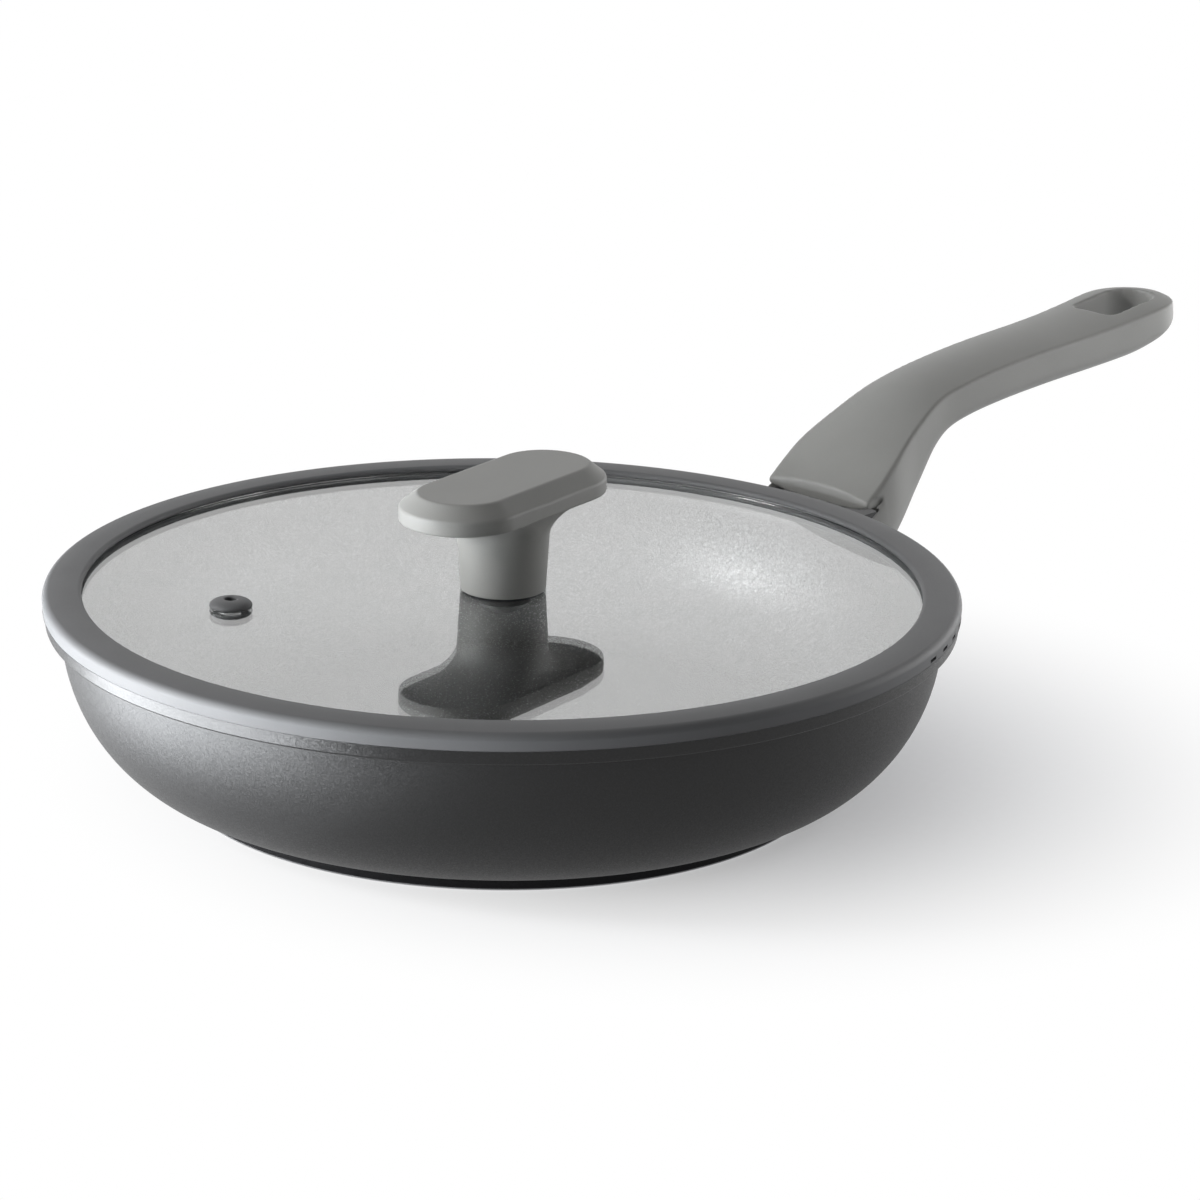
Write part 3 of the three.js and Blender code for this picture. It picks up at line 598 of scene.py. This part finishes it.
def make_ring():
    flange = RIM_HEIGHT + RING_SEAT
    inner = GLASS_RADIUS - RING_GRIP
    groove = GLASS_RADIUS + GAP

    def mouth(z):
        return MOUTH_RADIUS - MOUTH_FLARE * (RIM_HEIGHT - z) / MOUTH_DEPTH - SKIRT_GAP

    profile = rounded([
        (inner, RING_BOTTOM, SKIRT_ROUND),
        (mouth(RING_BOTTOM), RING_BOTTOM, SKIRT_ROUND),
        (mouth(flange), flange),
        (RING_RADIUS, flange, RING_EDGE_ROUND),
    ])
    profile += arc(RING_RADIUS - RING_SHOULDER, RING_TOP - RING_TOP_SLOPE - RING_SHOULDER,
                   RING_SHOULDER, RING_SHOULDER, 0, 90, 14)
    profile.append((inner + RING_CROWN, RING_TOP))
    profile += arc(inner + RING_INNER_ROUND, RING_TOP - RING_INNER_DROP - RING_INNER_ROUND,
                   RING_INNER_ROUND, RING_INNER_ROUND, 90, RING_INNER_TURN, 12)
    profile += rounded([
        (inner + RING_UNDERCUT, GLASS_TOP + GAP, RING_UNDERCUT_ROUND),
        (groove, GLASS_TOP + GAP),
        (groove, GLASS_BOTTOM - GAP),
        (inner, GLASS_BOTTOM - GAP, FINE_ROUND),
        (inner, RING_BOTTOM),
    ])[:-1]
    ring = lathe("lid_ring", profile, closed=True)
    slots = [strainer_slot(SLOT_FIRST_AZIMUTH + SLOT_PITCH * i) for i in range(SLOT_COUNT)]
    return smooth(combine(ring, slots, "DIFFERENCE"), sharp_angle=40)


def make_vent():
    top = GLASS_TOP + VENT_RISE
    waist = GLASS_TOP + VENT_FOOT_ROUND
    crown = VENT_BORE_RADIUS + VENT_BORE_ROUND
    profile = rounded([
        (VENT_BORE_RADIUS, VENT_BOTTOM, FINE_ROUND),
        (VENT_FLANGE_RADIUS, VENT_BOTTOM, VENT_FLANGE_ROUND),
        (VENT_FLANGE_RADIUS, GLASS_BOTTOM - GAP, FINE_ROUND),
        (VENT_NECK_RADIUS, GLASS_BOTTOM - GAP),
        (VENT_NECK_RADIUS, GLASS_TOP),
    ])
    profile += arc(VENT_BEAD_RADIUS - VENT_FOOT_ROUND, waist, VENT_FOOT_ROUND, VENT_FOOT_ROUND, -90, 0, 8)
    profile += arc(crown, waist, VENT_BEAD_RADIUS - crown, top - waist, 0, 90, 18)[1:]
    profile += arc(crown, top - VENT_BORE_ROUND, VENT_BORE_ROUND, VENT_BORE_ROUND, 90, 180, 8)[1:]
    return smooth(lathe("vent_eyelet", profile, SMALL, VENT_CENTRE, closed=True))


def pill(run, radius, z, steps=28):
    """A level outline with round ends, turned as the knob is."""
    ends = arc(run, 0, radius, radius, -90, 90, steps) + arc(-run, 0, radius, radius, 90, 270, steps)
    turned = Matrix.Rotation(math.radians(KNOB_TURN), 3, "Z")
    return [turned @ Vector((x, y, z)) for x, y in ends]


def knob_head(run, half, bottom):
    profile = rounded([
        (half - KNOB_CAP_INSET, bottom),
        (half, bottom, KNOB_EDGE_ROUND),
        (half, KNOB_TOP - KNOB_CHAMFER_DROP, KNOB_EDGE_ROUND),
        (half - KNOB_CHAMFER_WIDTH, KNOB_TOP, KNOB_EDGE_ROUND),
        (half - KNOB_CAP_INSET, KNOB_TOP),
    ])
    return skin("lid_knob", [pill(run, radius, z) for radius, z in profile], caps=True)


def knob_stem(run, half, head_bottom):
    """A round stem that flares out to the outline of the whole head."""
    flare_start = head_bottom - FLARE_HEIGHT
    flare_width = half - KNOB_EDGE_ROUND - FLARE_INSET - STEM_TOP_RADIUS
    profile = rounded([
        (STEM_FOOT_RADIUS - STEM_FOOT_RIM, STEM_FOOT),
        (STEM_FOOT_RADIUS, STEM_FOOT, STEM_FOOT_ROUND),
        (STEM_TOP_RADIUS, flare_start),
    ])
    rings = [pill(0, radius, z) for radius, z in profile]
    for i in range(1, FLARE_STEPS + 1):
        angle = math.radians(90 * i / FLARE_STEPS)
        share = 1 - math.cos(angle)
        height = flare_start + FLARE_HEIGHT * math.sin(angle)
        rings.append(pill(run * share, STEM_TOP_RADIUS + flare_width * share, height))
    rings.append(pill(run, STEM_TOP_RADIUS + flare_width, head_bottom + OVERLAP))
    return skin("stem", rings, caps=True)


def make_knob():
    """A head with a bevelled top, on a flared stem with a socket for the brass bush."""
    run = (KNOB_LENGTH - KNOB_WIDTH) / 2
    half = KNOB_WIDTH / 2
    head_bottom = KNOB_TOP - KNOB_HEAD_THICKNESS
    knob = knob_head(run, half, head_bottom)
    combine(knob, [knob_stem(run, half, head_bottom)], "UNION")
    socket = peg("socket", INSERT_RADIUS + GAP, STEM_FOOT - OVERLAP, INSERT_TOP + GAP)
    return smooth(combine(knob, [socket], "DIFFERENCE"), sharp_angle=30)


# Materials

class Look:
    """A material in the making: a Principled shader, and short ways to feed it."""

    def __init__(self, name, **fixed):
        self.material = bpy.data.materials.new(name)
        self.material.use_nodes = True
        self.tree = self.material.node_tree
        self.shader = self.tree.nodes["Principled BSDF"]
        self.output = self.tree.nodes["Material Output"]
        self.place = self.add("ShaderNodeTexCoord").outputs["Object"]
        for socket, value in fixed.items():
            self.shader.inputs[socket.replace("_", " ")].default_value = value

    def add(self, kind, settings=None, **inputs):
        node = self.tree.nodes.new(kind)
        for key, value in (settings or {}).items():
            setattr(node, key, value)
        for key, value in inputs.items():
            self.feed(node.inputs[key.replace("_", " ")], value)
        return node

    def feed(self, socket, value):
        if isinstance(value, bpy.types.NodeSocket):
            self.tree.links.new(value, socket)
        else:
            socket.default_value = value

    def set(self, name, value):
        self.feed(self.shader.inputs[name], value)

    def noise(self, grain, detail=2.0):
        """Soft noise with grains of a size in millimetres."""
        scale = 1 / (grain * MM)
        return self.add("ShaderNodeTexNoise", Vector=self.place, Scale=scale, Detail=detail).outputs["Fac"]

    def cells(self, size):
        """One random colour for each cell of a size in millimetres."""
        return self.add("ShaderNodeTexVoronoi", Vector=self.place, Scale=1 / (size * MM)).outputs["Color"]

    def flakes(self):
        """One random number for each metal flake."""
        return self.add("ShaderNodeSeparateColor", Color=self.cells(FLAKE_SIZE)).outputs["Red"]

    def math(self, operation, a, b):
        node = self.add("ShaderNodeMath", {"operation": operation})
        self.feed(node.inputs[0], a)
        self.feed(node.inputs[1], b)
        return node.outputs[0]

    def mix(self, a, b, share):
        """A share of one number and the rest of another."""
        return self.math("ADD", self.math("MULTIPLY", a, share), self.math("MULTIPLY", b, 1 - share))

    def spread(self, value, low, high, to_low, to_high, **settings):
        """A number moved from one range into another."""
        node = self.add("ShaderNodeMapRange", settings, Value=value, From_Min=low, From_Max=high,
                        To_Min=to_low, To_Max=to_high)
        return node.outputs["Result"]

    def ramp(self, value, stops):
        node = self.add("ShaderNodeValToRGB", Fac=value)
        points = node.color_ramp.elements
        while len(points) < len(stops):
            points.new(0.5)
        for point, (position, colour) in zip(points, stops):
            point.position = position
            point.color = (*colour, 1)
        return node.outputs["Color"]

    def bump(self, height, depth, strength=1.0, below=None):
        """A bump of a depth in millimetres."""
        node = self.add("ShaderNodeBump", Height=height, Distance=depth * MM, Strength=strength)
        if below is not None:
            self.feed(node.inputs["Normal"], below)
        return node.outputs["Normal"]

    def part(self, axis):
        return self.add("ShaderNodeSeparateXYZ", Vector=self.place).outputs[axis]

    def radius(self, centre=(0, 0, 0)):
        """The distance from an upright axis through the centre."""
        flat = self.add("ShaderNodeVectorMath", {"operation": "MULTIPLY_ADD"})
        self.feed(flat.inputs[0], self.place)
        flat.inputs[1].default_value = (1, 1, 0)
        flat.inputs[2].default_value = -Vector(centre)
        length = self.add("ShaderNodeVectorMath", {"operation": "LENGTH"})
        self.feed(length.inputs[0], flat.outputs[0])
        return length.outputs["Value"]

    def lines(self, along, pitch):
        """Fine uneven lines across one measure, such as the marks of turning."""
        at = self.math("DIVIDE", along, pitch * MM)
        node = self.add("ShaderNodeTexNoise", {"noise_dimensions": "1D"}, W=at, Scale=1.0, Detail=3.0)
        return node.outputs["Fac"]

    def glitter(self, tilt):
        """The surface normal with each metal flake tilted its own way."""
        centred = self.add("ShaderNodeVectorMath", {"operation": "SUBTRACT"})
        self.feed(centred.inputs[0], self.cells(FLAKE_SIZE))
        centred.inputs[1].default_value = (0.5, 0.5, 0.5)
        scaled = self.add("ShaderNodeVectorMath", {"operation": "SCALE"}, Scale=tilt)
        self.feed(scaled.inputs[0], centred.outputs[0])
        tilted = self.add("ShaderNodeVectorMath", {"operation": "ADD"})
        self.feed(tilted.inputs[0], self.add("ShaderNodeNewGeometry").outputs["Normal"])
        self.feed(tilted.inputs[1], scaled.outputs[0])
        unit = self.add("ShaderNodeVectorMath", {"operation": "NORMALIZE"})
        self.feed(unit.inputs[0], tilted.outputs[0])
        return unit.outputs[0]


def outer_coat():
    """A dark coat with metal flakes, turning marks below the rim and a smoother lip."""
    look = Look("anthracite coat outside", Specular_IOR_Level=0.34)
    shade = look.mix(look.flakes(), look.noise(9, 3), 0.75)
    look.set("Base Color", look.ramp(shade, [
        (0.15, (0.0024, 0.0024, 0.00248)), (0.65, (0.004, 0.004, 0.00412)), (0.75, (0.03, 0.03, 0.0306))]))
    look.set("Metallic", look.spread(shade, 0.65, 0.75, 0.0, 0.8))
    height = look.part("Z")
    shown = look.spread(height, TURNED_FROM * MM, TURNED_TO * MM, 0.0, 1.0)
    marks = look.math("MULTIPLY", look.lines(height, 0.55), shown)
    look.set("Normal", look.bump(marks, 0.02, 0.5, look.glitter(0.13)))
    below, above = (LIP_BOTTOM - LIP_BLEND) * MM, (LIP_BOTTOM + LIP_BLEND) * MM
    look.set("Roughness", look.spread(height, below, above, 0.49, 0.37))
    return look.material


def inner_coat():
    """The non-stick coat, which shines back towards the light and stays dark at a slant."""
    look = Look("anthracite coat inside", Metallic=1.0, Specular_Tint=(0.01, 0.01, 0.01, 1))
    look.set("Base Color", look.ramp(look.flakes(), [
        (0.2, (0.038, 0.038, 0.039)), (0.85, (0.060, 0.060, 0.062)), (0.97, (0.320, 0.320, 0.324))]))
    look.set("Roughness", look.spread(look.noise(0.8), 0.3, 0.7, 0.34, 0.40))
    look.set("Normal", look.glitter(0.2))
    return look.material


def soft_touch():
    look = Look("soft-touch grey", Specular_IOR_Level=0.42, Sheen_Weight=0.08, Sheen_Roughness=0.5)
    fine = look.noise(0.3, 2)
    shade = look.mix(fine, look.noise(35, 3), 0.5)
    look.set("Base Color", look.ramp(shade, [(0.3, (0.180, 0.180, 0.172)), (0.7, (0.214, 0.214, 0.204))]))
    look.set("Roughness", look.spread(fine, 0.3, 0.7, 0.52, 0.64))
    look.set("Normal", look.bump(fine, 0.018, 0.6))
    return look.material


def silicone():
    look = Look("satin silicone", Specular_IOR_Level=0.38)
    fine = look.noise(0.4, 2)
    shade = look.mix(fine, look.noise(22, 3), 0.4)
    look.set("Base Color", look.ramp(shade, [(0.3, (0.076, 0.077, 0.079)), (0.7, (0.092, 0.093, 0.096))]))
    look.set("Roughness", look.spread(fine, 0.3, 0.7, 0.56, 0.66))
    look.set("Normal", look.bump(fine, 0.012, 0.5))
    return look.material


def dark_silicone():
    look = Look("dark silicone", Specular_IOR_Level=0.2)
    fine = look.noise(0.35, 2)
    look.set("Base Color", look.ramp(fine, [(0.3, (0.018, 0.018, 0.019)), (0.7, (0.030, 0.030, 0.032))]))
    look.set("Roughness", look.spread(fine, 0.3, 0.7, 0.42, 0.55))
    look.set("Normal", look.bump(fine, 0.012, 0.5))
    return look.material


def bracket_coat():
    look = Look("black bracket coat", Metallic=0.3)
    fine = look.noise(0.5, 3)
    look.set("Base Color", look.ramp(fine, [(0.3, (0.020, 0.020, 0.021)), (0.75, (0.045, 0.045, 0.047))]))
    look.set("Roughness", look.spread(fine, 0.3, 0.7, 0.5, 0.65))
    look.set("Normal", look.bump(fine, 0.03, 0.6))
    return look.material


def base_metal():
    """Black coat on the edge and turned magnetic steel on the underside."""
    look = Look("turned base", Specular_IOR_Level=0.1)
    marks = look.lines(look.radius(), 0.7)
    under = look.spread(look.part("Z"), STEEL_FROM * MM, STEEL_TO * MM, 1.0, 0.0)
    plate = look.ramp(marks, [(0.25, (0.36, 0.36, 0.37)), (0.75, (0.50, 0.50, 0.51))])
    coat = look.ramp(look.noise(0.5), [(0.3, (0.006, 0.006, 0.007)), (0.7, (0.012, 0.012, 0.013))])
    mixed = look.add("ShaderNodeMix", {"data_type": "RGBA"})
    look.feed(mixed.inputs["Factor"], under)
    look.feed(mixed.inputs["A"], coat)
    look.feed(mixed.inputs["B"], plate)
    colour = [s for s in mixed.outputs if s.type == "RGBA"][0]
    look.set("Base Color", colour)
    look.set("Metallic", under)
    look.set("Roughness", look.spread(marks, 0.2, 0.8, 0.3, 0.5))
    look.set("Normal", look.bump(marks, 0.02, 0.4))
    return look.material


def steel():
    look = Look("zinc-plated steel", Metallic=1.0)
    marks = look.lines(look.radius(), 0.25)
    fine = look.noise(0.6, 3)
    look.set("Base Color", look.ramp(fine, [(0.3, (0.52, 0.52, 0.53)), (0.7, (0.66, 0.66, 0.67))]))
    look.set("Roughness", look.spread(fine, 0.3, 0.7, 0.28, 0.42))
    look.set("Normal", look.bump(marks, 0.01, 0.4))
    return look.material


def brass():
    look = Look("brass bush", Metallic=1.0)
    fine = look.noise(0.5, 3)
    look.set("Base Color", look.ramp(fine, [(0.3, (0.60, 0.43, 0.17)), (0.7, (0.74, 0.56, 0.26))]))
    look.set("Roughness", look.spread(fine, 0.3, 0.7, 0.25, 0.4))
    look.set("Normal", look.bump(fine, 0.01, 0.4))
    return look.material


def glass():
    """Clear tempered glass. Shadow rays pass straight through, so the pan's inside is lit."""
    look = Look("tempered glass", Transmission_Weight=1.0, IOR=1.52)
    film = look.noise(14, 4)
    look.set("Base Color", look.ramp(film, [(0.3, (0.94, 0.96, 0.955)), (0.7, (0.97, 0.98, 0.975))]))
    look.set("Roughness", look.spread(film, 0.35, 0.75, 0.0, 0.012))
    clear = look.add("ShaderNodeBsdfTransparent", Color=(0.93, 0.945, 0.94, 1))
    rays = look.add("ShaderNodeLightPath").outputs["Is Shadow Ray"]
    mixed = look.add("ShaderNodeMixShader", Fac=rays)
    look.feed(mixed.inputs[1], look.shader.outputs[0])
    look.feed(mixed.inputs[2], clear.outputs[0])
    look.feed(look.output.inputs["Surface"], mixed.outputs[0])
    return look.material


# Dress the frame

coats = {
    "pan_coating": outer_coat(),
    "base_plate": base_metal(),
    "bracket_coating": bracket_coat(),
    "soft_touch_grey": soft_touch(),
    "silicone": silicone(),
    "dark_silicone": dark_silicone(),
    "glass": glass(),
    "steel": steel(),
    "brass": brass(),
}


def paint(obj, slot):
    obj.data.materials.clear()
    obj.data.materials.append(coats[slot])


def coat_inside(shell, material):
    """Gives the faces that look into the pan a coat of their own."""
    shell.data.materials.append(material)
    for face in shell.data.polygons:
        outward = face.normal.x * face.center.x + face.normal.y * face.center.y
        in_mouth = Vector(face.center[:2]).length < MOUTH_RADIUS * MM
        if in_mouth and (face.normal.z > FACING_UP or outward < 0):
            face.material_index = 1


def stand_for(piece, node, body, slot):
    """Puts a finished piece in the place of a node and paints it."""
    paint(piece, slot)
    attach(piece, body)
    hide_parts(node)


pan_shell = make_pan_body()
stand_for(pan_shell, "pan_body", "pan", "pan_coating")
coat_inside(pan_shell, inner_coat())
stand_for(make_base(), "induction_base", "pan", "base_plate")
# The glass in the photograph mirrors nothing of the handle.
handle_grip = make_handle()
handle_grip.visible_glossy = False
stand_for(handle_grip, "handle", "pan", "soft_touch_grey")
stand_for(make_screw("grip_screw", "handle_screw", HANDLE_SCREW_HEAD), "handle_screw", "pan", "steel")
stand_for(make_washer("grip_washer", "handle_washer"), "handle_washer", "pan", "steel")
stand_for(make_glass(), "lid_glass", "lid", "glass")
stand_for(make_ring(), "lid_rim", "lid", "silicone")
stand_for(make_vent(), "vent_grommet", "lid", "silicone")
stand_for(make_knob(), "knob", "lid", "soft_touch_grey")
stem_gasket = make_washer("stem_gasket", "knob_gasket", GLASS_TOP + TOUCH, STEM_FOOT - TOUCH)
lower_gasket = make_washer("lower_gasket", "under_gasket", top=GLASS_BOTTOM - TOUCH)
stand_for(stem_gasket, "knob_gasket", "lid", "dark_silicone")
stand_for(lower_gasket, "under_gasket", "lid", "dark_silicone")
stand_for(make_washer("lower_washer", "under_washer"), "under_washer", "lid", "steel")
stand_for(make_screw("lid_screw", "knob_screw", KNOB_SCREW_HEAD), "knob_screw", "lid", "steel")

paint(nodes["knob_insert"], "brass")
paint(nodes["handle_bracket"], "bracket_coating")
soft_edges = nodes["handle_bracket"].modifiers.new("soft edges", "BEVEL")
soft_edges.width = BRACKET_EDGE * MM
soft_edges.segments = 3
soft_edges.limit_method = "ANGLE"


# Studio

turn = Matrix.Rotation(math.radians(-CAMERA_AZIMUTH), 4, "Z")


def seen(right, away, up):
    """A place or direction in the frame, from one seen from the camera."""
    return turn @ Vector((right, away, up))


def aim(obj, place, target):
    facing = (place - target).to_track_quat("Z", "Y")
    obj.matrix_world = Matrix.Translation(place) @ facing.to_matrix().to_4x4()


def soft_box(name, place, target, width, height, level, colour=(1, 1, 1)):
    """An area lamp. Level is the brightness of its face, where 1 is white."""
    data = bpy.data.lights.new(name, "AREA")
    data.shape = "RECTANGLE"
    data.size = width
    data.size_y = height
    data.energy = level * math.pi * width * height
    data.color = colour
    lamp = bpy.data.objects.new(name, data)
    bpy.context.scene.collection.objects.link(lamp)
    aim(lamp, seen(*place), seen(*target))


def background_rays(tree):
    """1 for the rays that show the white background: straight ones, and those off or through a surface."""
    path = tree.nodes.new("ShaderNodeLightPath")
    shown = path.outputs["Is Camera Ray"]
    for kind in ("Is Glossy Ray", "Is Transmission Ray"):
        either = tree.nodes.new("ShaderNodeMath")
        either.operation = "MAXIMUM"
        tree.links.new(shown, either.inputs[0])
        tree.links.new(path.outputs[kind], either.inputs[1])
        shown = either.outputs[0]
    return shown


def make_floor(name, left, right):
    """A pale floor that a painted white glow shows as the white background, apart from the object's shadow.
    """
    corners = ((left, -TABLE_REACH), (right, -TABLE_REACH), (right, TABLE_REACH), (left, TABLE_REACH))
    floor = make_object(name, [seen(x, y, FLOOR_LEVEL) for x, y in corners], [(0, 1, 2, 3)])
    look = Look("pale " + name)
    grain = look.noise(3, 3)
    look.set("Base Color", look.ramp(grain, [(0.3, (0.85, 0.86, 0.90)), (0.7, (0.87, 0.88, 0.92))]))
    look.set("Roughness", look.spread(look.noise(1.5), 0.3, 0.7, 0.7, 0.8))
    # Painted light: a white glow for straight, mirrored and seen-through rays, mixed in by distance from the
    # shadow's centre.
    away = look.radius(seen(*SHADOW_CENTRE))
    clear = look.spread(away, SHADOW_INNER, SHADOW_OUTER, SHADOW_GLOW, 1.0, interpolation_type="SMOOTHSTEP")
    glow = look.add("ShaderNodeEmission", Color=(1, 1, 1, 1), Strength=1.0)
    mixed = look.add("ShaderNodeMixShader", Fac=look.math("MULTIPLY", background_rays(look.tree), clear))
    look.feed(mixed.inputs[1], look.shader.outputs[0])
    look.feed(mixed.inputs[2], glow.outputs[0])
    look.feed(look.output.inputs["Surface"], mixed.outputs[0])
    floor.data.materials.append(look.material)
    return floor


def make_world():
    """A room that looks white and lights dimly."""
    world = bpy.data.worlds.new("studio")
    bpy.context.scene.world = world
    world.use_nodes = True
    tree = world.node_tree
    level = tree.nodes.new("ShaderNodeMapRange")
    tree.links.new(background_rays(tree), level.inputs["Value"])
    level.inputs["To Min"].default_value = AMBIENT
    level.inputs["To Max"].default_value = 1.0
    background = tree.nodes["Background"]
    background.inputs["Color"].default_value = (1, 1, 1, 1)
    tree.links.new(level.outputs["Result"], background.inputs["Strength"])


def make_camera():
    elevation = math.radians(CAMERA_ELEVATION)
    place = Vector((0, -CAMERA_DISTANCE * math.cos(elevation), CAMERA_DISTANCE * math.sin(elevation)))
    forward = -place.normalized()
    right = Vector((1, 0, 0))
    up = right.cross(forward)
    forward += right * math.tan(math.radians(CAMERA_YAW)) + up * math.tan(math.radians(CAMERA_PITCH))
    forward.normalize()
    right = forward.cross(Vector((0, 0, 1))).normalized()
    up = right.cross(forward)
    roll = math.radians(CAMERA_ROLL)
    right, up = right * math.cos(roll) + up * math.sin(roll), up * math.cos(roll) - right * math.sin(roll)
    matrix = Matrix((right, up, -forward)).transposed().to_4x4()
    matrix.translation = place
    data = bpy.data.cameras.new("camera")
    data.sensor_width = CAMERA_SENSOR
    data.lens = CAMERA_LENS
    data.clip_end = CAMERA_REACH
    camera = bpy.data.objects.new("camera", data)
    bpy.context.scene.collection.objects.link(camera)
    camera.matrix_world = turn @ matrix
    bpy.context.scene.camera = camera


make_floor("table", TABLE_LEFT, TABLE_REACH)
# This floor fills the picture beyond the table and lets the low left lamp through.
beyond = make_floor("floor beyond the table", -TABLE_REACH, TABLE_LEFT)
beyond.visible_diffuse = beyond.visible_glossy = beyond.visible_shadow = False
make_world()
soft_box("left", place=(-0.95, -0.17, -0.16), target=(0, 0, 0.05), width=1.3, height=0.62, level=22.0,
         colour=(0.94, 0.97, 1.0))
soft_box("key", place=(-0.98, -0.16, 0.54), target=(0, 0, 0.06), width=0.25, height=0.25, level=50.0)
soft_box("back", place=(0.1, 1.35, 0.62), target=(0, 0, 0.06), width=2.0, height=0.9, level=0.46)
soft_box("top", place=(0.0, 0.2, 1.6), target=(0, 0, 0.05), width=1.4, height=1.4, level=0.3)
soft_box("right", place=(0.47, 0.08, 0.19), target=(0.18, 0.16, 0.09), width=0.3, height=0.3, level=2.0)
soft_box("right edge", place=(0.75, 0.5, 0.12), target=(0.1, 0, 0.05), width=0.6, height=0.22, level=6.5)
make_camera()
bpy.context.scene.view_settings.view_transform = "Standard"

bpy.context.view_layer.update()
